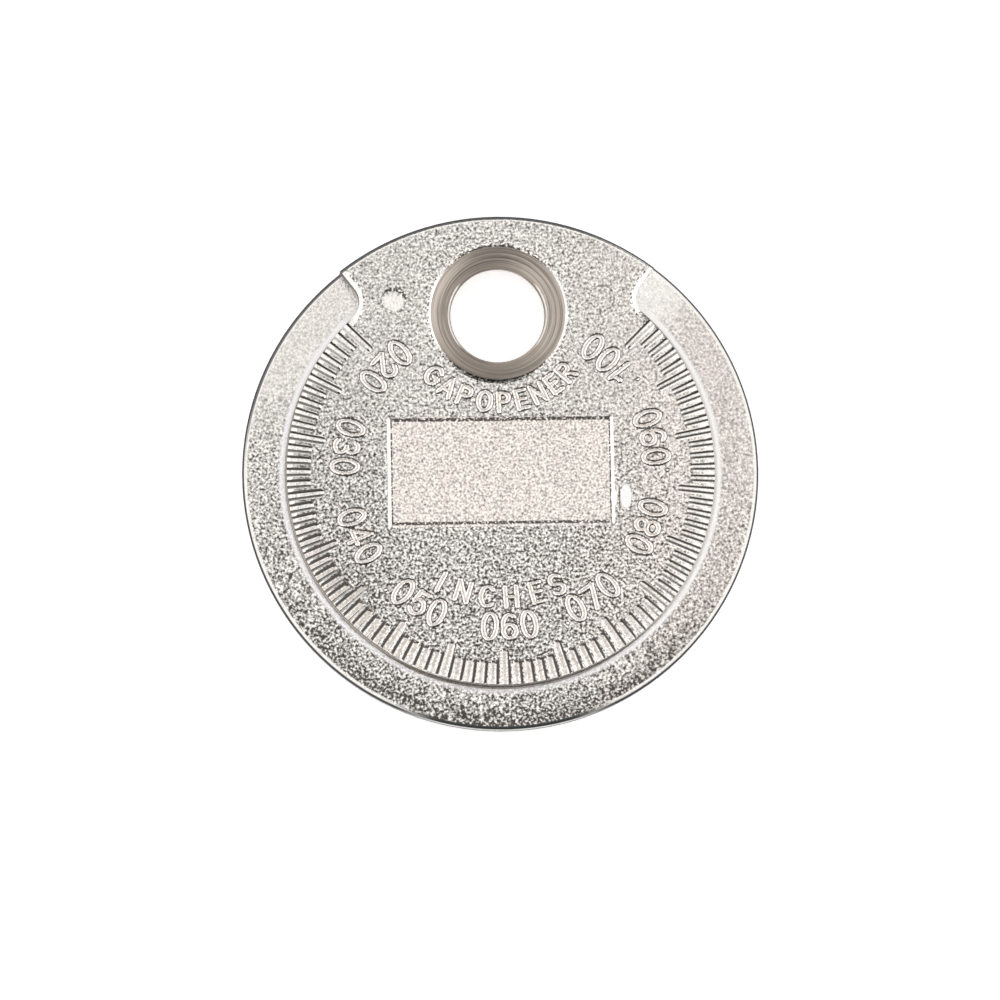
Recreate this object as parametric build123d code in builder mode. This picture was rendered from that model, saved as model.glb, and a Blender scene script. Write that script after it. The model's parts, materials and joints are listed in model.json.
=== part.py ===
from build123d import *

import os
from math import atan, cos, degrees, radians, sin

# Spark plug gap gauge: a coin of plated zinc, cast in one piece. A stepped-down rim runs
# three quarters of the way round and thickens evenly on both faces, so its thickness at
# each mark is the gap that it measures. Lengths are in millimetres and angles in degrees,
# anticlockwise from +X as seen from above.
#
# Frame: the coin lies flat, inch face up. The origin is on its axis, on the surface that it
# lies on, and the gap opening hole is towards +Y.

# Coin
DISC_DIAMETER = 38.1
BODY_THICKNESS = 3.2
EDGE_BEVEL = 0.27
BEVEL_WIDTH = 0.48
BEVEL_DEPTH = 0.18
WALL_DRAFT = 3.0

# Measuring rim, from its thinnest mark to its thickest
INCH = 25.4
THINNEST = 0.020 * INCH
THICKEST = 0.100 * INCH
RAMP_START = 136.0
RAMP_SPAN = 268.0
RAMP_OVERRUN = 8.4
RIM_WIDTH = 3.25
RIM_EDGE_BEVEL = 0.2
FOOT_BEVEL = 0.1
RECESS_CORNER = 1.6

# Gap opening hole
HOLE_DIAMETER = 7.0
HOLE_LAND = 0.45
COUNTERSINK_DIAMETER = 9.96
MOUTH_WIDTH = 0.32
MOUTH_DEPTH = 0.14
HOLE_TO_EDGE = 1.95

# Raised ribs of the two scales
INCH_STEP = 0.001 * INCH
INCH_STEPS_TO_LONG = 0
INCH_STEPS_PER_LONG = 5
METRIC_FIRST = 0.55
METRIC_LAST = 2.50
METRIC_STEP = 0.05
METRIC_STEPS_TO_LONG = 1
METRIC_STEPS_PER_LONG = 4
RIB_WIDTH = 0.68
RIB_HEIGHT = 0.17
RIB_SLOPE = 48.0
RIB_CORNER = 0.2
RIB_SETBACK = 0.04
RIB_SHORT = 1.8
RIB_LONG = 2.7

# Plaque on the inch face
PLAQUE_LENGTH = 16.7
PLAQUE_WIDTH = 8.2
PLAQUE_HEIGHT = 0.18
PLAQUE_SLOPE = 60.0
PLAQUE_CORNER = 0.3

# Ejector pin marks on the inch face
PIN_DIAMETER = 1.85
PIN_DEPTH = 0.05
UPPER_PIN_X = 7.7
UPPER_PIN_Y = 12.8
LOWER_PIN_X = 6.0
LOWER_PIN_Y = 6.05

# Cuts run this far past the metal, and this many degrees past their ends
CLEAR = 1.0
FULL_TURN = 360.0

disc_radius = DISC_DIAMETER / 2
hub_radius = disc_radius - RIM_WIDTH
back_face = RIB_HEIGHT
mid_plane = back_face + BODY_THICKNESS / 2
front_face = back_face + BODY_THICKNESS
wall_top = front_face - BEVEL_DEPTH
bevel_slope = degrees(atan(BEVEL_WIDTH / BEVEL_DEPTH))

rise_per_degree = (THICKEST - THINNEST) / 2 / RAMP_SPAN
recess_start = RAMP_START - RAMP_OVERRUN
recess_span = RAMP_SPAN + 2 * RAMP_OVERRUN
recess_end = recess_start + recess_span

hole_radius = HOLE_DIAMETER / 2
countersink_radius = COUNTERSINK_DIAMETER / 2
mouth_radius = countersink_radius + MOUTH_WIDTH
hole_y = disc_radius - HOLE_TO_EDGE - mouth_radius


def polar(radius, angle):
    return (radius * cos(radians(angle)), radius * sin(radians(angle)))


# Space above the rim: a radial profile that turns about the axis as it climbs, so the rim's
# face rises evenly with the angle. It leaves the rim a bevelled edge and a bevelled foot.
sweep_start = recess_start - CLEAR
sweep_span = recess_span + 2 * CLEAR
sweep_level = mid_plane + THINNEST / 2 + rise_per_degree * (sweep_start - RAMP_START)
with BuildPart() as rim_space:
    with BuildLine() as climb:
        Helix(
            pitch=rise_per_degree * FULL_TURN,
            height=rise_per_degree * sweep_span,
            radius=hub_radius,
            center=(0, 0, sweep_level),
        )
    with BuildSketch(Plane.XZ) as rim_profile:
        edge = (disc_radius - RIM_EDGE_BEVEL, sweep_level)
        past_edge = (disc_radius + RIM_EDGE_BEVEL, sweep_level - 2 * RIM_EDGE_BEVEL)
        inside = hub_radius - CLEAR
        outside = disc_radius + 2 * CLEAR
        top = sweep_level + BODY_THICKNESS
        with BuildLine():
            Polyline(
                (hub_radius + FOOT_BEVEL, sweep_level),
                edge,
                past_edge,
                (outside, past_edge[1]),
                (outside, top),
                (inside, top),
                (inside, sweep_level + FOOT_BEVEL + CLEAR),
                close=True,
            )
        make_face()
    sweep(path=climb.line, is_frenet=True)

# Recess over the rim on the inch face: a plan with rounded ends, cut down with draft to the
# face of the rim, and opened out at its top to bevel the edge of the body
with BuildPart() as recess:
    with BuildSketch(Plane.XY.offset(wall_top)) as recess_plan:
        outside = disc_radius + CLEAR
        with BuildLine():
            CenterArc((0, 0), hub_radius, recess_start, recess_span)
            CenterArc((0, 0), outside, recess_start, recess_span)
            Line(polar(hub_radius, recess_start), polar(outside, recess_start))
            Line(polar(hub_radius, recess_end), polar(outside, recess_end))
        make_face()
        inner_corners = recess_plan.vertices().sort_by(SortBy.DISTANCE)[:2]
        fillet(inner_corners, RECESS_CORNER)
    extrude(amount=mid_plane - wall_top, taper=WALL_DRAFT)
    add(rim_space.part, rotation=(0, 0, sweep_start), mode=Mode.INTERSECT)
    extrude(recess_plan.sketch, amount=2 * BEVEL_DEPTH, taper=-bevel_slope)

# Gap opening hole: a short land between two turned countersinks, each with a cast mouth
with BuildPart() as hole_space:
    with BuildSketch(Plane.YZ) as hole_profile:
        with BuildLine():
            Polyline(
                (hole_y, mid_plane),
                (hole_y, front_face + CLEAR),
                (hole_y + mouth_radius, front_face + CLEAR),
                (hole_y + mouth_radius, front_face),
                (hole_y + countersink_radius, front_face - MOUTH_DEPTH),
                (hole_y + hole_radius, mid_plane + HOLE_LAND / 2),
                (hole_y + hole_radius, mid_plane),
                close=True,
            )
        make_face()
        mirror(about=Plane.XZ.offset(-mid_plane))
    revolve(axis=Axis((0, hole_y, 0), (0, 0, 1)))


def rib_outlines(outer_radius, first, last, step, steps_to_long, steps_per_long):
    """Footprints of a scale's ribs, square at the outer end and narrowed at the inner one."""
    side = RIB_WIDTH / 2
    tip = side - RIB_CORNER
    for count in range(round((last - first) / step) + 1):
        inner_end = RIB_LONG if count % steps_per_long == steps_to_long else RIB_SHORT
        length = outer_radius - hub_radius + inner_end
        angle = RAMP_START + (first + step * count - THINNEST) / 2 / rise_per_degree
        with Locations(Location(polar(outer_radius, angle), angle)):
            Polygon(
                (0, -side),
                (0, side),
                (RIB_CORNER - length, side),
                (-length, tip),
                (-length, -tip),
                (RIB_CORNER - length, -side),
                align=None,
            )


# Inch scale, on the front: its ribs run out over the bevel and end close to the body's wall
with BuildPart() as inch_ribs:
    with BuildSketch(Plane.XY.offset(front_face)) as inch_scale:
        rib_outlines(
            hub_radius + CLEAR,
            THINNEST,
            THICKEST,
            INCH_STEP,
            INCH_STEPS_TO_LONG,
            INCH_STEPS_PER_LONG,
        )
    extrude(amount=RIB_HEIGHT, taper=RIB_SLOPE)
    extrude(inch_scale.sketch, amount=-BEVEL_DEPTH)
    with BuildSketch(Plane.XY.offset(front_face - BEVEL_DEPTH)):
        Circle(hub_radius - RIB_SETBACK)
    extrude(amount=BEVEL_DEPTH + RIB_HEIGHT, mode=Mode.INTERSECT)

# Metric scale, on the back: its ribs stop at the bevel
with BuildPart() as metric_ribs:
    with BuildSketch(Plane.XY.offset(back_face)):
        rib_outlines(
            hub_radius - BEVEL_WIDTH - RIB_SETBACK,
            METRIC_FIRST,
            METRIC_LAST,
            METRIC_STEP,
            METRIC_STEPS_TO_LONG,
            METRIC_STEPS_PER_LONG,
        )
    extrude(amount=-RIB_HEIGHT, taper=RIB_SLOPE)

# The gauge
with BuildPart() as gauge_disc:
    with BuildSketch(Plane.XY.offset(back_face)):
        Circle(disc_radius)
    extrude(amount=BODY_THICKNESS)
    chamfer(gauge_disc.edges(), EDGE_BEVEL)
    add(recess.part, mode=Mode.SUBTRACT)
    mirror(recess.part, about=Plane.XY.offset(mid_plane), mode=Mode.SUBTRACT)
    add(hole_space.part, mode=Mode.SUBTRACT)

    add(inch_ribs.part)
    add(metric_ribs.part)

    # Plaque
    with BuildSketch(Plane.XY.offset(front_face)):
        RectangleRounded(PLAQUE_LENGTH, PLAQUE_WIDTH, PLAQUE_CORNER)
    extrude(amount=PLAQUE_HEIGHT, taper=PLAQUE_SLOPE)

    # Ejector pin marks
    with BuildSketch(Plane.XY.offset(front_face)):
        with Locations(
            (-UPPER_PIN_X, UPPER_PIN_Y),
            (UPPER_PIN_X, UPPER_PIN_Y),
            (-LOWER_PIN_X, -LOWER_PIN_Y),
            (LOWER_PIN_X, -LOWER_PIN_Y),
        ):
            Circle(PIN_DIAMETER / 2)
    extrude(amount=-PIN_DEPTH, mode=Mode.SUBTRACT)

gauge_disc.part.label = "gauge_disc"
os.makedirs("parts", exist_ok=True)
export_step(gauge_disc.part, "parts/gauge_disc.step")
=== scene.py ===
import json
from math import cos, pi, radians, sin

import bpy
from mathutils import Matrix, Vector

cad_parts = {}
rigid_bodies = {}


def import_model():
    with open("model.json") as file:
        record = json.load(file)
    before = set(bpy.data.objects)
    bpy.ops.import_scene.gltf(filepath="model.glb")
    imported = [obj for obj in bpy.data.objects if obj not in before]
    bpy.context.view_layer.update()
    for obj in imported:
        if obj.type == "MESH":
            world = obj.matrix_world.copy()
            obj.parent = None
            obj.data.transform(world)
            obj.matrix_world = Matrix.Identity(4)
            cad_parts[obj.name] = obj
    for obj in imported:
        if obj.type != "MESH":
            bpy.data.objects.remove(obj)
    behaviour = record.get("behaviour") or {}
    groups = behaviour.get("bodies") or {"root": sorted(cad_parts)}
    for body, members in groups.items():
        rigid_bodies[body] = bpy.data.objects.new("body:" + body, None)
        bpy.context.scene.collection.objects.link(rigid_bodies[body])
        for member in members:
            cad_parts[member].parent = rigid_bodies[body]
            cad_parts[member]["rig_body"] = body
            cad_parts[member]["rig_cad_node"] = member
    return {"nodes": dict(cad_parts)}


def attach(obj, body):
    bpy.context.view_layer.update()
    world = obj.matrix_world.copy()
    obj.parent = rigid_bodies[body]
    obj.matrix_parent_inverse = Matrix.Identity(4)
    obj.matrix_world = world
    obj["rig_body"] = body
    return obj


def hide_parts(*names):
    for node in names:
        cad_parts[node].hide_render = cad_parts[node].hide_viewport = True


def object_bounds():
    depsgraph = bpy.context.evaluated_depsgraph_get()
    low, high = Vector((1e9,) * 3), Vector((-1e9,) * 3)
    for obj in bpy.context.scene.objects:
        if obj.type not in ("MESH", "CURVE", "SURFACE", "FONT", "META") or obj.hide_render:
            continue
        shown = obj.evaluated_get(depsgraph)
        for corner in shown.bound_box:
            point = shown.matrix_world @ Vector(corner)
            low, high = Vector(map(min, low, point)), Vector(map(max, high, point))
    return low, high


# A spark plug gap gauge: a plated coin cast in one piece, lying flat with its inch face up.
# Lengths in this file are in millimetres, turned into metres by MM where they meet the scene.
# Angles are in degrees, anticlockwise from +X as seen from above.

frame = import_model()
cad_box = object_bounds()

MM = 0.001
INCH = 25.4

# Sizes of the casting
OUTER_RADIUS = round(cad_box[1][0] / MM, 3)
HUB_RADIUS = 15.8
BACK_FACE = 0.17
BODY_THICKNESS = 3.2
HALF_BODY = BODY_THICKNESS / 2
MID_PLANE = BACK_FACE + HALF_BODY
FRONT_FACE = BACK_FACE + BODY_THICKNESS
HOLE_Y = 11.8
COUNTERSINK_RADIUS = 4.98
LAND_RADIUS = 3.64
PLAQUE_HALF = (8.35, 4.1)
PLAQUE_FLANK = 0.31
PINS = ((7.7, 12.8), (6.0, -6.05))
PIN_RADIUS = 0.925

# Two dents beside the plaque: middle, half its size. A crack runs between them.
DENTS = (((8.3, -2.05), (0.24, 0.62)), ((9.17, -1.98), (0.4, 0.88)))
CRACK = (8.69, -2.0)

# The scale: thickness at each mark
THINNEST = 0.020 * INCH
THICKEST = 0.100 * INCH
RAMP_START = 136.0
RAMP_SPAN = 268.0
RIB_SPACES = 80
DEGREES_PER_MM = RAMP_SPAN / (THICKEST - THINNEST)
DEGREES_PER_RIB = RAMP_SPAN / RIB_SPACES

# Section of a lettering ridge, half of it: distance from its middle, height over the face
RIDGE_SECTION = ((0.25, -0.03), (0.24, 0.0), (0.17, 0.085), (0.1, 0.125), (0.035, 0.142))
RIDGE_HALF_WIDTH = RIDGE_SECTION[0][0]
RIDGE_CAP_ANGLES = (82, 60, 32)
POINT_SHARE = 0.66


# Strokes of each character, in units of its height
def bar(start_x, start_y, end_x, end_y):
    """A straight stroke."""
    return [(start_x, start_y), (end_x, end_y)]


def arc(x, y, wide, high, start, end, steps=12):
    """Points along an ellipse's arc."""
    points = []
    for step in range(steps + 1):
        angle = radians(start + (end - start) * step / steps)
        points.append((x + wide * cos(angle), y + high * sin(angle)))
    return points


def ring(x, y, wide, high, steps=22):
    """Points round a whole ellipse, the first not repeated at the end."""
    return arc(x, y, wide, high, 90, 450, steps)[:-1]


STEM = bar(0.0, 0.0, 0.0, 1.0)
BOWL = [(0.0, 1.0)] + arc(0.3, 0.75, 0.27, 0.25, 90, -90, 8) + [(0.0, 0.5)]
S_CURVE = arc(0.28, 0.755, 0.26, 0.245, 25, 270, 11) + arc(0.28, 0.255, 0.28, 0.255, 90, -152, 11)[1:]

# Each character: its width, its open strokes and its closed ones
CHARACTERS = {
    "0": (0.58, [], [ring(0.29, 0.5, 0.29, 0.56)]),
    "1": (0.34, [bar(0.34, 0.0, 0.34, 1.0), arc(0.0, 1.06, 0.34, 0.34, -92, -14, 5)], []),
    "2": (0.56, [arc(0.28, 0.72, 0.27, 0.28, 172, -28) + [(0.0, 0.0)], bar(0.0, 0.0, 0.58, 0.0)], []),
    "3": (0.56, [arc(0.27, 0.755, 0.24, 0.245, 150, -90), arc(0.27, 0.255, 0.28, 0.255, 90, -150)], []),
    "4": (0.58, [bar(0.42, 0.0, 0.42, 1.0), bar(0.42, 1.0, 0.0, 0.3), bar(0.0, 0.3, 0.58, 0.3)], []),
    "5": (
        0.56,
        [bar(0.52, 1.0, 0.1, 1.0), bar(0.1, 1.0, 0.04, 0.52), arc(0.26, 0.33, 0.3, 0.33, 140, -145, 14)],
        [],
    ),
    "6": (0.56, [arc(0.3, 0.56, 0.3, 0.44, 52, 205, 9)], [ring(0.28, 0.29, 0.28, 0.29)]),
    "7": (0.56, [bar(0.0, 1.0, 0.58, 1.0), bar(0.58, 1.0, 0.18, 0.0)], []),
    "8": (0.56, [], [ring(0.28, 0.765, 0.23, 0.235), ring(0.28, 0.265, 0.28, 0.265)]),
    "9": (0.56, [arc(0.26, 0.44, 0.3, 0.44, 232, 385, 9)], [ring(0.28, 0.71, 0.28, 0.29)]),
    ".": (0.0, [bar(0.0, 0.02, 0.0, 0.05)], []),
    "A": (0.66, [bar(0.0, 0.0, 0.33, 1.0), bar(0.33, 1.0, 0.66, 0.0), bar(0.12, 0.33, 0.54, 0.33)], []),
    "C": (0.66, [arc(0.36, 0.5, 0.36, 0.5, 48, 312, 16)], []),
    "E": (0.5, [STEM, bar(0.0, 1.0, 0.5, 1.0), bar(0.0, 0.52, 0.44, 0.52), bar(0.0, 0.0, 0.5, 0.0)], []),
    "G": (
        0.7,
        [arc(0.37, 0.5, 0.37, 0.5, 48, 318, 16), bar(0.66, 0.16, 0.68, 0.46), bar(0.68, 0.46, 0.42, 0.46)],
        [],
    ),
    "H": (0.58, [STEM, bar(0.58, 0.0, 0.58, 1.0), bar(0.0, 0.5, 0.58, 0.5)], []),
    "I": (0.0, [STEM], []),
    "M": (0.7, [STEM, bar(0.0, 1.0, 0.35, 0.2), bar(0.35, 0.2, 0.7, 1.0), bar(0.7, 1.0, 0.7, 0.0)], []),
    "N": (0.6, [STEM, bar(0.0, 1.0, 0.6, 0.0), bar(0.6, 0.0, 0.6, 1.0)], []),
    "O": (0.7, [], [ring(0.35, 0.5, 0.35, 0.52)]),
    "P": (0.56, [STEM, BOWL], []),
    "R": (0.58, [STEM, BOWL, bar(0.28, 0.5, 0.58, 0.0)], []),
    "S": (0.56, [S_CURVE], []),
}


# Lettering
def round_ends(points, share):
    """The stroke's points with the share of the full section at each, round at both ends."""
    caps = []
    for near, beside in ((points[0], points[1]), (points[-1], points[-2])):
        away = (Vector(near) - Vector(beside)).normalized()
        cap = []
        for angle in RIDGE_CAP_ANGLES:
            reach = sin(radians(angle)) * RIDGE_HALF_WIDTH * share
            cap.append((Vector(near) + away * reach, cos(radians(angle)) * share))
        caps.append(cap)
    middle = [(Vector(point), share) for point in points]
    return caps[0] + middle + caps[1][::-1]


def add_stroke(curve, points, closed, share=1.0):
    """One stroke of a character as a line of points, each with its share of the section."""
    sized = [(Vector(point), share) for point in points] if closed else round_ends(points, share)
    spline = curve.splines.new("POLY")
    spline.points.add(len(sized) - 1)
    spline.use_cyclic_u = closed
    for point, (place, size) in zip(spline.points, sized):
        point.co = (place.x * MM, place.y * MM, 0.0, 1.0)
        point.radius = size


def add_character(curve, character, height, centre, radius, angle, mirrored=False):
    """A character stood on a circle with its foot outwards, its middle at that radius and angle."""
    width, open_strokes, closed_strokes = CHARACTERS[character]
    outwards = Vector((cos(radians(angle)), sin(radians(angle))))
    along = Vector((-outwards.y, outwards.x)) * (-1 if mirrored else 1)

    def place(point):
        across = (point[0] - width / 2) * height
        up = (point[1] - 0.5) * height
        return Vector(centre) + outwards * (radius - up) + along * across

    share = POINT_SHARE if character == "." else 1.0
    for stroke in open_strokes:
        add_stroke(curve, [place(point) for point in stroke], False, share)
    for stroke in closed_strokes:
        add_stroke(curve, [place(point) for point in stroke], True)


def section_of_ridge():
    """The outline that is carried along every stroke."""
    outline = bpy.data.curves.new("ridge_section", "CURVE")
    outline.dimensions = "2D"
    outline.fill_mode = "NONE"
    spline = outline.splines.new("POLY")
    points = list(RIDGE_SECTION) + [(-across, up) for across, up in RIDGE_SECTION[::-1]]
    spline.points.add(len(points) - 1)
    for point, (across, up) in zip(spline.points, points):
        point.co = (across * MM, up * MM, 0.0, 1.0)
    spline.use_cyclic_u = True
    section = bpy.data.objects.new("ridge_section", outline)
    bpy.context.scene.collection.objects.link(section)
    return section


def raised_lettering(name, characters, face, upwards=True):
    """Characters (text, height, centre, radius, angle) as ridges that stand on a face."""
    section = section_of_ridge()
    curve = bpy.data.curves.new(name, "CURVE")
    curve.dimensions = "3D"
    curve.twist_mode = "Z_UP"
    curve.bevel_mode = "OBJECT"
    curve.bevel_object = section
    curve.use_fill_caps = True
    for character, height, centre, radius, angle in characters:
        add_character(curve, character, height, centre, radius, angle, mirrored=not upwards)
    ridges = bpy.data.objects.new(name, curve)
    bpy.context.scene.collection.objects.link(ridges)
    bpy.ops.object.select_all(action="DESELECT")
    ridges.select_set(True)
    bpy.context.view_layer.objects.active = ridges
    bpy.ops.object.convert(target="MESH")
    ridges = bpy.context.view_layer.objects.active
    bpy.data.objects.remove(section)
    bpy.ops.object.mode_set(mode="EDIT")
    bpy.ops.mesh.select_all(action="SELECT")
    if not upwards:
        bpy.ops.transform.resize(value=(1, 1, -1), center_override=(0, 0, 0))
    bpy.ops.transform.translate(value=(0, 0, face * MM))
    bpy.ops.mesh.remove_doubles(threshold=0.000001)
    bpy.ops.mesh.normals_make_consistent(inside=False)
    bpy.ops.object.mode_set(mode="OBJECT")
    bpy.ops.object.shade_smooth_by_angle(angle=radians(50))
    return ridges


def scale_angle(thickness):
    """Where the rim has that thickness."""
    return RAMP_START + (thickness - THINNEST) * DEGREES_PER_MM


LABEL_RADIUS = 11.5
LABEL_HEIGHT = 1.7

# Labels of the inch face, each a little further round than its mark
FIRST_LABEL = 20
LABEL_STEP = 10
LABELS = 9
FIGURE_PITCH = 7.25
FIRST_LAG = 0.7
LAG_STEP = 0.1
BOTTOM_LABEL = 4
BOTTOM_LAG = 1.0
LABELS_WITHOUT_POINT = (0, 1, 2)
POINT_LEAD = 5.0
POINT_DROP = 0.05

# Words: radius of their circle, height and the angle of each letter
UNIT_WORD = "INCHES"
UNIT_RADIUS = 9.33
UNIT_HEIGHT = 1.42
UNIT_ANGLES = (240.8, 251.6, 262.7, 273.5, 285.2, 295.0)
OPENER_WORDS = "GAPOPENER"
OPENER_RADIUS = 6.68
OPENER_HEIGHT = 1.32
OPENER_ANGLES = (223.8, 235.4, 247.2, 260.4, 272.4, 283.9, 295.2, 306.6, 317.6)

# Labels of the metric face, from 0.6 in steps of 0.2
METRIC_FIRST = 0.6
METRIC_STEP = 0.2
METRIC_LABELS = 10
METRIC_PITCH = 4.4
METRIC_UNIT_RADIUS = 8.4
METRIC_UNIT_ANGLES = (277.5, 262.5)


def inch_lettering():
    """The labels 020 to 100, the unit word and the words round the hole."""
    found = []
    for count in range(LABELS):
        thousandths = FIRST_LABEL + LABEL_STEP * count
        lag = FIRST_LAG + LAG_STEP * count + (BOTTOM_LAG if count == BOTTOM_LABEL else 0.0)
        middle = scale_angle(thousandths / 1000 * INCH) + lag
        for place, figure in enumerate(f"{thousandths:03d}"):
            angle = middle + (place - 1) * FIGURE_PITCH
            found.append((figure, LABEL_HEIGHT, (0, 0), LABEL_RADIUS, angle))
        if count not in LABELS_WITHOUT_POINT:
            angle = middle - FIGURE_PITCH - POINT_LEAD
            found.append((".", LABEL_HEIGHT, (0, 0), LABEL_RADIUS - POINT_DROP, angle))
    for letter, angle in zip(UNIT_WORD, UNIT_ANGLES):
        found.append((letter, UNIT_HEIGHT, (0, 0), UNIT_RADIUS, angle))
    for letter, angle in zip(OPENER_WORDS, OPENER_ANGLES):
        found.append((letter, OPENER_HEIGHT, (0, HOLE_Y), OPENER_RADIUS, angle))
    return found


def metric_lettering():
    """The labels 0.6 to 2.4 and the unit, read from below."""
    found = []
    for count in range(METRIC_LABELS):
        thickness = METRIC_FIRST + METRIC_STEP * count
        middle = scale_angle(thickness)
        whole, tenths = f"{thickness:.1f}".split(".")
        found.append((tenths, LABEL_HEIGHT, (0, 0), LABEL_RADIUS, middle - METRIC_PITCH))
        found.append((".", LABEL_HEIGHT, (0, 0), LABEL_RADIUS, middle))
        found.append((whole, LABEL_HEIGHT, (0, 0), LABEL_RADIUS, middle + METRIC_PITCH))
    for angle in METRIC_UNIT_ANGLES:
        found.append(("M", LABEL_HEIGHT, (0, 0), METRIC_UNIT_RADIUS, angle))
    return found


front_lettering = raised_lettering("front_lettering", inch_lettering(), FRONT_FACE)
back_lettering = raised_lettering("back_lettering", metric_lettering(), BACK_FACE, upwards=False)


# The casting
def rounded_casting():
    """A copy of the coin with its edges rounded, and its own flat faces shaded flat."""
    bpy.ops.object.select_all(action="DESELECT")
    cad_disc = frame["nodes"]["gauge_disc"]
    cad_disc.select_set(True)
    bpy.context.view_layer.objects.active = cad_disc
    bpy.ops.object.duplicate()
    disc = bpy.context.view_layer.objects.active
    disc.name = "casting"
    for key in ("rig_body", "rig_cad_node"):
        if key in disc:
            del disc[key]
    disc.parent = None
    disc.matrix_world = Matrix.Identity(4)
    bpy.ops.object.mode_set(mode="EDIT")
    bpy.ops.mesh.select_all(action="SELECT")
    bpy.ops.mesh.remove_doubles(threshold=0.000002)
    bpy.ops.mesh.dissolve_limited(angle_limit=radians(0.6))
    bpy.ops.object.mode_set(mode="OBJECT")
    rounding = disc.modifiers.new("rounding", "BEVEL")
    rounding.width = 0.06 * MM
    rounding.segments = 2
    rounding.limit_method = "ANGLE"
    rounding.angle_limit = radians(15)
    rounding.harden_normals = False
    bpy.ops.object.modifier_apply(modifier="rounding")
    bpy.ops.object.shade_smooth_by_angle(angle=radians(32))
    for polygon in disc.data.polygons:
        if polygon.normal.z < -0.9999:
            polygon.use_smooth = False
    flatness = disc.modifiers.new("flatness", "WEIGHTED_NORMAL")
    flatness.weight = 90
    flatness.keep_sharp = True
    bpy.ops.object.modifier_apply(modifier="flatness")
    return disc


casting = rounded_casting()


# Finishes
class Tree:
    """Short ways to add and join the nodes of one tree."""

    def __init__(self, tree):
        self.tree = tree

    def put(self, socket, value):
        if isinstance(value, (int, float)):
            socket.default_value = value
        elif isinstance(value, tuple):
            socket.default_value = value if len(value) == len(socket.default_value) else value + (1.0,)
        else:
            self.tree.links.new(value, socket)

    def maths(self, operation, *values):
        node = self.tree.nodes.new("ShaderNodeMath")
        node.operation = operation
        for socket, value in zip(node.inputs, values):
            self.put(socket, value)
        return node.outputs[0]

    def product(self, *values):
        result = values[0]
        for value in values[1:]:
            result = self.maths("MULTIPLY", result, value)
        return result

    def highest(self, *values):
        result = values[0]
        for value in values[1:]:
            result = self.maths("MAXIMUM", result, value)
        return result

    def total(self, start, *terms):
        """The start with each term added, a term being a factor and what it multiplies."""
        result = start
        for factor, value in terms:
            result = self.maths("MULTIPLY_ADD", value, factor, result)
        return result

    def within(self, value, low, high):
        """The value, kept between low and high."""
        return self.maths("MINIMUM", self.maths("MAXIMUM", value, low), high)

    def away(self, value, centre):
        """How far the value is from the centre."""
        return self.maths("ABSOLUTE", self.maths("SUBTRACT", value, centre))

    def length(self, first, second):
        squares = self.maths("ADD", self.product(first, first), self.product(second, second))
        return self.maths("SQRT", squares)

    def rise(self, value, low, high):
        """0 below low, 1 above high and smooth between them. It falls where high is the lower."""
        node = self.tree.nodes.new("ShaderNodeMapRange")
        node.interpolation_type = "SMOOTHSTEP"
        self.put(node.inputs["Value"], value)
        bounds = (low, high, 0.0, 1.0) if low < high else (high, low, 1.0, 0.0)
        for socket, bound in zip(("From Min", "From Max", "To Min", "To Max"), bounds):
            node.inputs[socket].default_value = bound
        return node.outputs["Result"]

    def line(self, value, centre, inner, outer):
        """1 within the inner distance of the centre and 0 beyond the outer one."""
        return self.rise(self.away(value, centre), outer, inner)

    def vector(self, operation, *values):
        node = self.tree.nodes.new("ShaderNodeVectorMath")
        node.operation = operation
        for socket, value in zip(node.inputs, values):
            self.put(socket, value)
        return node.outputs["Value" if operation == "DOT_PRODUCT" else "Vector"]

    def apart(self, vector):
        node = self.tree.nodes.new("ShaderNodeSeparateXYZ")
        self.put(node.inputs[0], vector)
        return node.outputs

    def object_place(self):
        return self.tree.nodes.new("ShaderNodeTexCoord").outputs["Object"]

    def millimetres(self):
        """The place on the piece, in millimetres."""
        return self.vector("MULTIPLY", self.object_place(), (1 / MM, 1 / MM, 1 / MM))

    def noise(self, place, scale, detail=2.0, roughness=0.5):
        node = self.tree.nodes.new("ShaderNodeTexNoise")
        self.put(node.inputs["Vector"], place)
        self.put(node.inputs["Scale"], scale)
        node.inputs["Detail"].default_value = detail
        node.inputs["Roughness"].default_value = roughness
        return node.outputs["Fac"]

    def blend(self, share, first, second):
        """The first colour where the share is 0, the second where it is 1."""
        node = self.tree.nodes.new("ShaderNodeMix")
        node.data_type = "RGBA"
        self.put(node.inputs["Factor"], share)
        self.put(node.inputs["A"], first)
        self.put(node.inputs["B"], second)
        return node.outputs["Result"]

    def coated(self, colour, *coats):
        """A colour under coats, the last on top, a coat being its share and its colour."""
        for share, coat in coats:
            colour = self.blend(share, colour, coat)
        return colour

    def group(self, group, **inputs):
        node = self.tree.nodes.new("ShaderNodeGroup")
        node.node_tree = group
        for name, value in inputs.items():
            self.put(node.inputs[name], value)
        return node.outputs


def new_group(name, inputs):
    """A node group with float inputs (name: default)."""
    group = bpy.data.node_groups.new(name, "ShaderNodeTree")
    for socket, value in inputs.items():
        new = group.interface.new_socket(name=socket, in_out="INPUT", socket_type="NodeSocketFloat")
        new.default_value = value
    return group


def put_out(group, found):
    """Give the group float outputs (name: socket inside it)."""
    for name in found:
        group.interface.new_socket(name=name, in_out="OUTPUT", socket_type="NodeSocketFloat")
    out = group.nodes.new("NodeGroupOutput")
    for name, socket in found.items():
        group.links.new(socket, out.inputs[name])
    return group


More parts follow.
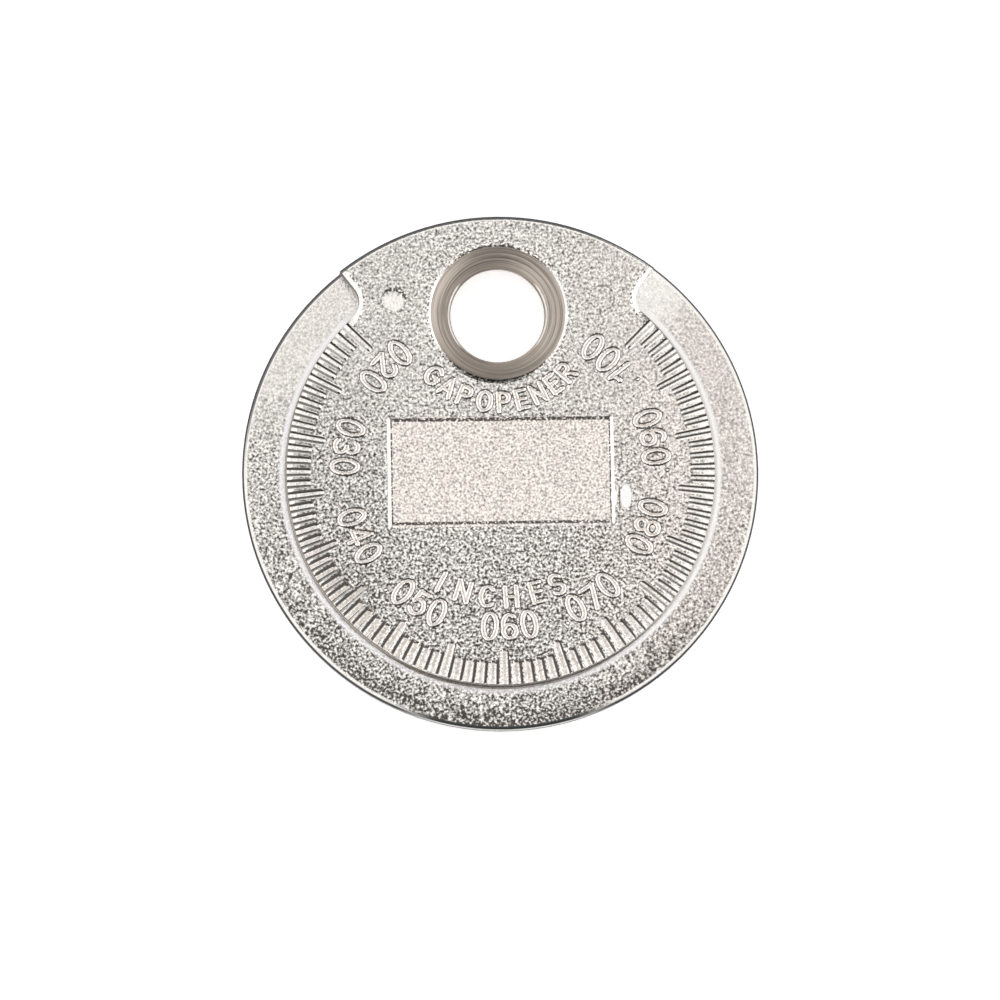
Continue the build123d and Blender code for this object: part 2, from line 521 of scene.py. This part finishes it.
class Place:
    """Where a point of the casting is. Masks are 1 in their place and 0 elsewhere."""

    def __init__(self, t):
        self.x, self.y, z = t.apart(t.millimetres())
        self.radius = t.length(self.x, self.y)
        self.share_x = t.maths("DIVIDE", self.x, self.radius)
        self.share_y = t.maths("DIVIDE", self.y, self.radius)
        self.across = t.maths("ABSOLUTE", self.x)
        self.height = t.maths("SUBTRACT", t.away(z, MID_PLANE), HALF_BODY)
        self.front = t.rise(z, MID_PLANE, MID_PLANE + 0.1)
        self.rim = t.rise(self.height, -0.2, -0.26)
        self.at_scale = t.rise(self.share_y, 0.74, 0.7)
        self.at_foot = t.rise(self.share_y, -0.8, -0.95)
        angle = t.maths("MULTIPLY", t.maths("ARCTAN2", self.y, self.x), 180 / pi)
        self.turn = t.maths("MULTIPLY_ADD", t.maths("LESS_THAN", angle, 90.0), 360.0, angle)


def tone_masks(t, at):
    """Broad stretches that are brighter, darker or smoother: the lighter right is painted light, and the
    darker low part, lower outer rim and left of the field are painted shade.
    """
    left_field = t.product(t.rise(at.x, -7.0, -10.0), t.rise(at.y, 9.0, 2.0), t.rise(at.radius, 16.0, 15.5))
    return {
        "Low": t.rise(at.y, 9.0, -15.0),
        "Right": t.rise(at.x, 2.0, 16.0),
        "Upper": t.product(t.rise(at.across, 4.0, 7.0), t.rise(at.y, 3.0, 8.0)),
        "Left Field": left_field,
        "Outer Rim": t.product(at.rim, t.rise(at.radius, 17.0, 18.4), t.rise(at.y, -7.0, -15.5)),
        "Smooth End": t.product(at.rim, t.rise(at.y, 1.0, 9.0), t.rise(at.x, 4.0, -4.0)),
        "Thick End": t.product(at.rim, t.rise(at.turn, 397.0, 407.0), 0.6),
    }


def edge_masks(t, at):
    """The painted dark reflection round the coin's edge and the painted highlight band inside it."""
    line = t.rise(at.radius, OUTER_RADIUS - 0.2, OUTER_RADIUS - 0.1)
    upper_left = t.rise(t.total(at.share_y, (-0.5, at.share_x)), 0.45, 0.8)
    outline = t.highest(
        t.product(line, t.rise(at.share_y, -0.99, -0.9)),
        t.product(t.line(at.radius, OUTER_RADIUS - 0.18, 0.08, 0.15), t.rise(at.share_y, -0.9, -0.97)),
        t.product(t.rise(at.radius, OUTER_RADIUS - 0.3, OUTER_RADIUS - 0.2), upper_left, 0.9),
    )
    band = t.rise(at.radius, OUTER_RADIUS - 0.42, OUTER_RADIUS - 0.3)
    return {"Outline": outline, "Edge Band": t.product(band, t.rise(at.share_y, -0.97, -0.86))}


def hub_masks(t, at):
    """The corner between the rim and the body, and the bevels round the recess and the hole, with a painted
    highlight at the rim's foot and painted shade along the hub's edge and near the top of the walls.
    """
    light_radius = t.total(HUB_RADIUS + 0.34, (0.1, at.at_foot))
    light = t.total(0.4, (0.45, t.rise(at.share_y, -0.97, -0.7)))
    # A thin line of painted shade along the hub's edge, stronger on the left
    line_radius = t.total(HUB_RADIUS + 0.02, (0.13, at.at_foot))
    line = t.total(0.5, (0.35, t.rise(at.x, 12.0, -8.0)))
    at_thin_end = t.product(t.rise(at.share_y, 0.7, 0.74), t.rise(at.x, 0.0, -1.0))
    # Painted shade near the top of the walls
    deeper = t.total(at.height, (0.5, t.highest(at.at_foot, at_thin_end)))
    below_top = t.total(0.8, (-0.8, t.product(at.at_foot, t.rise(at.height, -0.55, -0.35))))
    at_face = t.product(t.rise(at.height, -0.085, -0.05), t.rise(at.height, 0.06, 0.02))
    return {
        "Rim Foot": t.product(at.rim, t.rise(at.radius, HUB_RADIUS + 0.7, HUB_RADIUS + 0.15)),
        "Foot Light": t.product(at.rim, t.line(at.radius, light_radius, 0.02, 0.28), at.at_scale, light),
        "Hub Line": t.product(t.line(at.radius, line_radius, 0.05, 0.12), at.at_scale, at.front, line),
        "Wall Line": t.product(t.rise(deeper, -0.42, -0.3), below_top),
        "Bevel Top": t.product(at.front, at_face, t.rise(at.share_y, 0.72, 0.75)),
    }


def off_rib(t, at, rib):
    """How far along the circle the nearest whole number of ribs is."""
    part = t.away(t.maths("FRACT", t.maths("ADD", rib, 0.5)), 0.5)
    return t.product(part, at.radius, radians(DEGREES_PER_RIB))


def scale_masks(t, at):
    """The ribs of the inch scale and the gaps between them, with their painted shade and painted
    highlights.
    """
    rib = t.maths("DIVIDE", t.maths("SUBTRACT", at.turn, RAMP_START), DEGREES_PER_RIB)
    off_middle = off_rib(t, at, rib)
    # A line of painted shade along the middle of each rib, low down and away from the right
    rib_line = t.product(t.rise(off_middle, 0.13, 0.06), t.rise(at.y, 0.0, -9.0), t.rise(at.x, 12.0, 6.0))

    # A shaded band beside each rib, which moves across the gap from the left round to the right
    round_share = t.within(t.maths("DIVIDE", t.maths("SUBTRACT", at.turn, 180.0), 180.0), -0.1, 1.0)
    lag = t.product(t.rise(round_share, 0.3, 0.5), t.rise(round_share, 1.0, 0.8))
    off_band = off_rib(t, at, t.total(t.maths("ADD", rib, 0.27), (0.517, round_share), (0.06, lag)))
    off_band = t.total(off_band, (0.04, round_share), (0.04, t.rise(at.turn, 185.0, 165.0)))

    # A thin line of painted shade on the rib's other side, where the ribs run across the picture
    side = t.total(-0.256, (0.446, t.maths("GREATER_THAN", at.x, 0.0)))
    off_line = off_rib(t, at, t.maths("ADD", rib, side))
    thin_line = t.product(t.rise(off_line, 0.13, 0.05), t.rise(t.maths("ABSOLUTE", at.share_x), 0.5, 0.95))
    shade = t.highest(t.rise(off_band, 0.18, 0.08), t.product(thin_line, 0.9))

    past_ribs = t.rise(at.radius, HUB_RADIUS - 2.75, HUB_RADIUS - 2.7)
    reach = t.total(at.radius, (-0.3, t.rise(at.share_y, -0.2, -0.6)))
    gap_start = t.rise(at.radius, HUB_RADIUS - 1.9, HUB_RADIUS - 1.7)
    in_gap = t.product(gap_start, t.rise(reach, 15.45, 15.35), at.at_scale)
    before_wall = t.rise(at.radius, HUB_RADIUS + 0.04, HUB_RADIUS - 0.02)
    gap_end = t.product(t.rise(at.radius, 14.8, 15.2), before_wall, t.rise(at.share_y, 0.68, 0.62))
    gap_end = t.product(gap_end, t.rise(at.height, -0.25, -0.2))
    flank = t.within(t.maths("SUBTRACT", off_middle, 0.2), 0.0, 0.14)
    return {
        "Rib Line": t.product(at.front, rib_line),
        "Rib Shade": t.product(at.front, past_ribs, shade),
        "Gap Light": t.product(at.front, gap_end, t.rise(at.share_y, -0.9, -0.55)),
        "Gap Shade": t.product(at.front, in_gap, shade),
        # Painted shade in the gaps on the left
        "Gap Tone": t.product(at.front, in_gap, t.rise(at.share_x, -0.6, -0.9), 0.35),
        "Flattening": t.product(at.front, flank),
    }


def pin_masks(t, at):
    """The ejector pin marks: a ring round each, and the upper left one bright under a shaded top."""
    nearest = 100.0
    for pin_x, pin_y in PINS:
        away = t.length(t.maths("SUBTRACT", at.across, pin_x), t.maths("SUBTRACT", at.y, pin_y))
        nearest = t.maths("MINIMUM", away, nearest)
    upper_left = t.product(at.front, t.rise(at.x, 0.0, -1.0), t.rise(at.y, 8.0, 9.0))
    top = t.rise(t.total(at.y, (0.2, at.x)), 11.45, 11.75)
    inside = t.rise(nearest, PIN_RADIUS - 0.05, PIN_RADIUS - 0.25)
    return {
        "Pin Ring": t.product(at.front, t.line(nearest, PIN_RADIUS, 0.03, 0.1)),
        "Pin Light": t.product(upper_left, inside, t.total(1.0, (-0.7, top))),
        "Pin Shade": t.product(upper_left, top, t.line(nearest, PIN_RADIUS - 0.08, 0.1, 0.22)),
    }


def plaque_masks(t, at):
    """The line of painted shade round the plaque's top, wider on its long sides, and how far its flanks
    have fallen.
    """
    beyond_x = t.maths("SUBTRACT", at.across, PLAQUE_HALF[0] - PLAQUE_FLANK)
    beyond_y = t.maths("SUBTRACT", t.maths("ABSOLUTE", at.y), PLAQUE_HALF[1] - PLAQUE_FLANK)
    off_side = t.total(t.away(beyond_y, 0.05), (-0.04, t.rise(at.y, 0.0, 1.0)))
    long_line = t.product(t.rise(off_side, 0.14, 0.06), t.rise(beyond_x, 0.1, 0.0))
    thin_line = t.line(t.highest(beyond_x, beyond_y), 0.0, 0.03, 0.08)
    fall = t.within(beyond_y, 0.0, PLAQUE_FLANK)
    return {
        "Plaque Line": t.product(at.front, t.highest(thin_line, long_line)),
        "Plaque Fall": t.product(fall, t.rise(beyond_x, 0.02, -0.02)),
    }


def dent_masks(t, at):
    """The two dents beside the plaque and the crack between them."""
    dents = []
    for (dent_x, dent_y), (half_x, half_y) in DENTS:
        share_x = t.maths("DIVIDE", t.maths("SUBTRACT", at.x, dent_x), half_x)
        share_y = t.maths("DIVIDE", t.maths("SUBTRACT", at.y, dent_y), half_y)
        dents.append(t.rise(t.length(share_x, share_y), 1.12, 0.9))
    crack = t.product(t.line(at.x, CRACK[0], 0.03, 0.08), t.line(at.y, CRACK[1], 0.6, 0.9))
    return {"Dent": t.product(at.front, t.highest(*dents)), "Dent Line": t.product(at.front, crack)}


def mouth_masks(t, at):
    """The cast mouth of the hole: rough at its top and bottom, with a line of painted shade round inside.
    """
    from_hole = t.length(at.x, t.maths("SUBTRACT", at.y, HOLE_Y))
    share = t.maths("DIVIDE", t.away(at.y, HOLE_Y), from_hole)
    line = t.line(from_hole, COUNTERSINK_RADIUS + 0.04, 0.05, 0.12)
    return {
        "Mouth End": t.product(at.front, t.rise(from_hole, 5.6, 5.5), t.rise(share, 0.7, 0.9)),
        "Mouth Line": t.product(at.front, line, t.rise(share, 0.45, 0.8)),
    }


def places_group():
    """Masks of the places on the casting that look their own way."""
    group = new_group("gauge_places", {})
    t = Tree(group)
    at = Place(t)
    found = {"Radius": at.radius, "Height": at.height, "Front": at.front, "Rim": at.rim}
    for masks in (
        tone_masks,
        edge_masks,
        hub_masks,
        scale_masks,
        pin_masks,
        plaque_masks,
        dent_masks,
        mouth_masks,
    ):
        found.update(masks(t, at))
    return put_out(group, found)


def grain_group():
    """A rough cast surface: its height in metres, its grain about 0 and a broad change of tone."""
    group = new_group("cast_grain", {"Size": 0.22, "Depth": 0.02})
    t = Tree(group)
    given = group.nodes.new("NodeGroupInput").outputs
    place = t.millimetres()
    elsewhere = t.vector("ADD", place, (61.0, 47.0, 33.0))
    fineness = t.maths("DIVIDE", 1.0, given["Size"])
    bumps = t.maths("SUBTRACT", t.noise(place, fineness, 1.5), 0.5)
    specks = t.maths("SUBTRACT", t.noise(elsewhere, t.product(fineness, 1.15), 1.0), 0.5)
    found = {
        "Height": t.product(bumps, given["Depth"], 4.0 * MM),
        "Grain": t.product(t.total(specks, (0.4, bumps)), 13.0),
        "Tone": t.rise(t.noise(place, 2.2, 2.0, 0.6), 0.35, 0.65),
    }
    return put_out(group, found)


PLACES = places_group()
GRAIN = grain_group()

# Colours of the metal
HOLLOW = (0.07, 0.062, 0.056)
BRIGHT = (1.0, 0.955, 0.905)
WARM = (1.0, 0.93, 0.865)
WHITE = (1.0, 1.0, 0.99)
SHADOW = (0.085, 0.075, 0.068)
# Painted shade along the crests of ribs and lettering
WORN = (0.50, 0.41, 0.34)
# Painted shade along the hub's edge and near the top of the walls
BROWN = (0.15, 0.115, 0.085)
# Painted dark reflection along the coin's edge
DARK_EDGE = (0.06, 0.063, 0.066)
RIM_FOOT = (0.77, 0.74, 0.75)
COOL_LIGHT = (0.97, 0.95, 0.96)
WARM_LIGHT = (1.0, 0.985, 0.955)
THICK_END = (1.0, 0.97, 0.93)
BARE_DARK = (0.27, 0.235, 0.205)
BARE_LIGHT = (0.66, 0.585, 0.52)
# Painted light on the countersinks' lower part and a painted highlight on the narrow land
BARE_LOW = (0.72, 0.65, 0.58)
BARE_LAND = (0.98, 0.96, 0.93)
# The coin's outer wall darker: painted dark reflection
WALL_GREY = (0.3, 0.303, 0.308)


def start_metal(name, roughness):
    material = bpy.data.materials.new(name)
    material.use_nodes = True
    shader = material.node_tree.nodes["Principled BSDF"]
    shader.inputs["Metallic"].default_value = 1.0
    shader.inputs["Roughness"].default_value = roughness
    return material, Tree(material.node_tree), shader


def finish_metal(t, shader, colour, height):
    bump = t.tree.nodes.new("ShaderNodeBump")
    bump.inputs["Distance"].default_value = 1.0
    t.put(bump.inputs["Height"], height)
    t.put(shader.inputs["Normal"], bump.outputs["Normal"])
    t.put(shader.inputs["Base Color"], colour)


def grained(t, grain, middle, contrast, bright=BRIGHT):
    """The plating's colour between its hollows and its high spots."""
    share = t.maths("MULTIPLY_ADD", grain["Grain"], contrast, middle)
    return t.blend(t.within(share, 0.0, 1.0), HOLLOW, bright)


def cast_metal():
    """The field and the rim, as cast under their plating."""
    material, t, shader = start_metal("cast_metal", 0.22)
    places = t.group(PLACES)
    calm = t.highest(places["Rim Foot"], places["Dent"])
    right_calm = t.product(places["Right"], t.total(0.1, (0.25, places["Rim"])))
    coarse = t.product(
        t.total(0.9, (0.3, places["Low"]), (-1.0, right_calm)),
        t.total(1.0, (-0.6, calm)),
        t.total(1.0, (-0.5, places["Smooth End"])),
        t.total(1.0, (-0.12, places["Upper"])),
    )
    grain = t.group(GRAIN, Depth=t.product(coarse, 0.022))
    # Painted light on the right; painted shade low down, on the lower outer rim and on the left of the
    # field
    middle = t.total(
        0.555,
        (0.1, places["Right"]),
        (-0.16, places["Low"]),
        (-0.24, places["Outer Rim"]),
        (0.2, places["Smooth End"]),
        (-0.08, places["Left Field"]),
        (0.06, grain["Tone"]),
    )
    bright = t.blend(places["Right"], BRIGHT, WARM)
    colour = t.coated(
        grained(t, grain, middle, t.product(coarse, 0.2), bright),
        (t.product(places["Rim Foot"], 0.55), RIM_FOOT),
        (places["Foot Light"], t.blend(places["Right"], COOL_LIGHT, WARM_LIGHT)),
        (places["Thick End"], THICK_END),
        (t.product(places["Gap Light"], 0.75), BRIGHT),
        # Painted shade in the gaps between ribs
        (t.highest(places["Gap Shade"], places["Gap Tone"]), SHADOW),
        (t.product(places["Pin Light"], 0.7), BRIGHT),
        (t.product(places["Pin Shade"], t.rise(grain["Grain"], 1.5, -1.0)), SHADOW),
        # Painted highlight inside the coin's edge
        (t.product(places["Edge Band"], 0.85), BRIGHT),
        (places["Dent"], WHITE),
        (t.product(places["Dent Line"], 0.8), SHADOW),
        (t.product(places["Pin Ring"], t.rise(grain["Grain"], 2.0, -1.5), 0.6), SHADOW),
        # Painted shade along the hub's edge
        (places["Hub Line"], BROWN),
        # Painted dark reflection along the coin's edge
        (places["Outline"], DARK_EDGE),
    )
    finish_metal(t, shader, colour, grain["Height"])
    return material


def smooth_metal(name, middle=0.93, contrast=0.05, depth=0.006, roughness=0.2, bright=BRIGHT):
    """Bevels, edges and the plaque: the same plating over a smoother casting."""
    material, t, shader = start_metal(name, roughness)
    places, grain = t.group(PLACES), t.group(GRAIN, Size=0.2, Depth=depth)
    rough = t.highest(places["Mouth End"], places["Bevel Top"])
    # Painted shade round the plaque's top and inside the hole's mouth
    lines = t.highest(places["Plaque Line"], places["Mouth Line"])
    dotted = t.rise(grain["Grain"], 3.2, -0.2)
    colour = t.coated(
        grained(t, grain, middle, contrast, bright),
        (rough, grained(t, grain, 0.55, 0.25)),
        (t.product(lines, dotted), SHADOW),
        (places["Dent"], WHITE),
        (t.product(places["Dent Line"], 0.8), SHADOW),
        (places["Gap Shade"], SHADOW),
        # Painted shade along the hub's edge
        (places["Hub Line"], BROWN),
        # Painted dark reflection along the coin's edge
        (places["Outline"], DARK_EDGE),
    )
    height = t.total(grain["Height"], (0.45 * MM, places["Plaque Fall"]))
    finish_metal(t, shader, colour, height)
    return material


def raised_metal():
    """Ribs and lettering: bright shoulders, painted shade along the crest and painted shade at the foot."""
    material, t, shader = start_metal("raised_metal", 0.16)
    places, grain = t.group(PLACES), t.group(GRAIN, Size=0.18, Depth=0.009)
    height = places["Height"]
    on_rib = t.rise(places["Radius"], 13.0, 13.1)
    # Painted shade along the lettering's crest
    crest = t.product(t.rise(height, 0.13, 0.14), t.rise(height, 0.16, 0.15), t.total(1.0, (-1.0, on_rib)))
    # Painted shade at the foot of the lettering and the ribs
    foot = t.total(0.09, (-0.1, t.product(on_rib, places["Front"])))
    above_foot = t.maths("SUBTRACT", t.total(height, (0.006, grain["Grain"])), foot)
    colour = t.coated(
        # The ribs darker low down: painted shade
        grained(t, grain, t.total(0.93, (-0.13, t.product(on_rib, places["Low"]))), 0.1),
        (t.product(crest, 0.6), WORN),
        # Painted shade along the ribs' crests, low down
        (t.product(places["Rib Line"], on_rib, 0.5), WORN),
        (t.product(places["Rib Shade"], on_rib), SHADOW),
        (t.product(t.rise(above_foot, 0.0, -0.035), 0.85), SHADOW),
    )
    flattening = t.product(places["Flattening"], on_rib, 0.62 * MM)
    finish_metal(t, shader, colour, t.maths("ADD", flattening, grain["Height"]))
    return material


def turned_metal():
    """The countersinks, bare metal with the marks of the tool that turned them, painted lighter on their
    lower part, with a painted highlight on the narrow land at the sides.
    """
    material, t, shader = start_metal("turned_metal", 0.5)
    x, y = t.apart(t.millimetres())[:2]
    from_axis = t.length(x, t.maths("SUBTRACT", y, HOLE_Y))
    rings = t.tree.nodes.new("ShaderNodeCombineXYZ")
    t.put(rings.inputs["X"], t.product(from_axis, 9.0))
    t.put(rings.inputs["Y"], t.product(x, 0.12))
    t.put(rings.inputs["Z"], t.product(y, 0.12))
    marks = t.noise(rings.outputs[0], 1.0, 3.0, 0.6)
    share = t.maths("DIVIDE", t.maths("ABSOLUTE", x), from_axis)
    land = t.product(t.line(from_axis, LAND_RADIUS, 0.04, 0.07), t.rise(share, 0.72, 0.85))
    colour = t.coated(
        BARE_DARK,
        (t.rise(marks, 0.34, 0.66), BARE_LIGHT),
        # Painted light on the lower part
        (t.product(t.rise(y, HOLE_Y, HOLE_Y - 4.0), 0.3), BARE_LOW),
        # Painted highlight on the narrow land at the sides
        (land, BARE_LAND),
    )
    finish_metal(t, shader, colour, t.product(marks, 0.02 * MM))
    return material


def wall_metal():
    """Upright walls: the band round the coin, a painted dark reflection, and the line round the hub,
    painted shade.
    """
    material, t, shader = start_metal("wall_metal", 0.55)
    places, grain = t.group(PLACES), t.group(GRAIN, Depth=0.01)
    colour = t.coated(
        grained(t, grain, 0.6, 0.06),
        # The coin's outer wall darker: painted dark reflection
        (t.rise(places["Radius"], HUB_RADIUS + 0.5, OUTER_RADIUS - 0.5), WALL_GREY),
        # Painted shade near the top of the walls
        (places["Wall Line"], BROWN),
    )
    finish_metal(t, shader, colour, grain["Height"])
    return material


casting.data.materials.clear()
for material in (
    cast_metal(),
    smooth_metal("plaque_metal", middle=0.73, contrast=0.155, depth=0.018, roughness=0.28, bright=WARM),
    turned_metal(),
    raised_metal(),
    wall_metal(),
    smooth_metal("edge_metal"),
    smooth_metal("rounded_edge_metal", middle=1.0, roughness=0.5),
):
    casting.data.materials.append(material)
CAST, PLAQUE, TURNED, RAISED, WALL, EDGE, OUTER_EDGE = range(7)

# How far past its own outline a finish still takes in a face
PLAQUE_REACH = 0.1
COUNTERSINK_REACH = 0.02
EDGE_REACH = 0.35


def finish_of(centre, normal):
    """Which finish a face of the casting has, from its middle in millimetres and its normal."""
    radius = Vector((centre.x, centre.y)).length
    from_hole = Vector((centre.x, centre.y - HOLE_Y)).length
    steepness = abs(normal.z)
    height = abs(centre.z - MID_PLANE) - HALF_BODY
    if from_hole < COUNTERSINK_RADIUS + COUNTERSINK_REACH and height < -0.02:
        return TURNED
    if radius > OUTER_RADIUS - EDGE_REACH and steepness < 0.97:
        return WALL if steepness < 0.5 else OUTER_EDGE
    over_x = abs(centre.x) - PLAQUE_HALF[0]
    over_y = abs(centre.y) - PLAQUE_HALF[1]
    if max(over_x, over_y) < PLAQUE_REACH and height > 0.005 and centre.z > MID_PLANE:
        return EDGE if abs(normal.x) > 0.2 else PLAQUE
    if height > 0.005 or (radius < HUB_RADIUS - 0.02 and -0.17 < height < 0.005 and steepness < 0.9):
        return RAISED
    if steepness < 0.3:
        return WALL
    return EDGE if steepness < 0.97 else CAST


for polygon in casting.data.polygons:
    polygon.material_index = finish_of(polygon.center / MM, polygon.normal)
for piece in (front_lettering, back_lettering):
    piece.data.materials.clear()
    piece.data.materials.append(casting.data.materials[RAISED])

for piece in (casting, front_lettering, back_lettering):
    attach(piece, "root")
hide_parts("gauge_disc")


# Floor and light
def white_floor():
    """A white sheet, bright to the camera and in the metal, that keeps the coin's shadow."""
    bpy.ops.object.select_all(action="DESELECT")
    bpy.ops.mesh.primitive_plane_add(size=4.0, location=(0, 0, 0))
    sheet = bpy.context.view_layer.objects.active
    sheet.name = "floor"
    paper = bpy.data.materials.new("white_paper")
    paper.use_nodes = True
    shader = paper.node_tree.nodes["Principled BSDF"]
    shader.inputs["Base Color"].default_value = (0.85, 0.85, 0.85, 1)
    shader.inputs["Roughness"].default_value = 0.9
    shader.inputs["Emission Color"].default_value = (1, 1, 1, 1)
    t = Tree(paper.node_tree)
    ray = t.tree.nodes.new("ShaderNodeLightPath").outputs
    seen = t.highest(ray["Is Camera Ray"], ray["Is Glossy Ray"], ray["Is Transmission Ray"])
    t.put(shader.inputs["Emission Strength"], t.product(seen, 0.5))
    sheet.data.materials.append(paper)
    return sheet


def white_world():
    world = bpy.data.worlds.new("studio")
    world.use_nodes = True
    background = world.node_tree.nodes["Background"]
    background.inputs["Color"].default_value = (1, 1, 1, 1)
    background.inputs["Strength"].default_value = 1.0
    return world


# The tent's dim patch: its direction, and the angles from it where it is dimmest and where it ends
PATCH_DIRECTION = (0.04, 0.124, 0.991)
PATCH_DIMMEST = 9
PATCH_END = 24


def light_tent():
    """A tent over the coin, which only the metal mirrors: bright at the sides, dimmer straight
    above, dark in front and behind."""
    bpy.ops.object.select_all(action="DESELECT")
    bpy.ops.mesh.primitive_uv_sphere_add(segments=48, ring_count=24, radius=0.6)
    tent = bpy.context.view_layer.objects.active
    tent.name = "light_tent"
    cloth = bpy.data.materials.new("tent_cloth")
    cloth.use_nodes = True
    cloth.node_tree.nodes.clear()
    t = Tree(cloth.node_tree)
    direction = t.vector("NORMALIZE", t.object_place())
    side, depth = t.apart(direction)[:2]
    overhead = t.vector("DOT_PRODUCT", direction, PATCH_DIRECTION)
    dim = t.rise(overhead, cos(radians(PATCH_END)), cos(radians(PATCH_DIMMEST)))
    dark = t.rise(t.total(t.maths("ABSOLUTE", depth), (-0.2, t.rise(side, 0.1, -0.4))), 0.5, 0.75)
    strength = t.product(t.total(1.25, (-0.32, dim), (0.08, side)), t.total(1.0, (-0.92, dark)))
    glow = t.tree.nodes.new("ShaderNodeEmission")
    t.put(glow.inputs["Strength"], strength)
    out = t.tree.nodes.new("ShaderNodeOutputMaterial")
    t.put(out.inputs["Surface"], glow.outputs[0])
    tent.data.materials.append(cloth)
    tent.visible_camera = False
    tent.visible_diffuse = False
    tent.visible_shadow = False
    return tent


floor = white_floor()
bpy.context.scene.world = white_world()
tent = light_tent()

# Camera: its angle from straight above, towards which side it leans and its turn about its axis
CAMERA_LEAN = 7.5
CAMERA_HEADING = -18.0
CAMERA_ROLL = 1.05
CAMERA_DISTANCE = 350.0
CAMERA_HEIGHT_OF_AIM = 1.77
SENSOR_WIDTH = 36.0

# The picture: its width, its scale, and how far the coin is off its middle
PICTURE_WIDTH = 1000
PIXELS_PER_MM = 13.53
PIXELS_ABOVE_MIDDLE = 26.2
PIXELS_RIGHT_OF_MIDDLE = 0.2


def place_camera():
    lean, heading = radians(CAMERA_LEAN), radians(CAMERA_HEADING)
    from_coin = Vector((sin(lean) * sin(heading), -sin(lean) * cos(heading), cos(lean)))
    up = Vector((0, 1, 0)) - from_coin * from_coin.y
    up.normalize()
    right = up.cross(from_coin)
    turned = Matrix.Rotation(radians(-CAMERA_ROLL), 3, from_coin)
    up, right = turned @ up, turned @ right
    aim = Vector((0, 0, CAMERA_HEIGHT_OF_AIM))
    aim -= up * (PIXELS_ABOVE_MIDDLE / PIXELS_PER_MM) + right * (PIXELS_RIGHT_OF_MIDDLE / PIXELS_PER_MM)
    data = bpy.data.cameras.new("camera")
    data.sensor_width = SENSOR_WIDTH
    data.lens = SENSOR_WIDTH * CAMERA_DISTANCE * PIXELS_PER_MM / PICTURE_WIDTH
    camera = bpy.data.objects.new("camera", data)
    bpy.context.scene.collection.objects.link(camera)
    bpy.context.scene.camera = camera
    basis = Matrix((right, up, from_coin)).transposed().to_4x4()
    camera.matrix_world = Matrix.Translation((aim + from_coin * CAMERA_DISTANCE) * MM) @ basis


place_camera()
bpy.context.scene.view_settings.view_transform = "Standard"
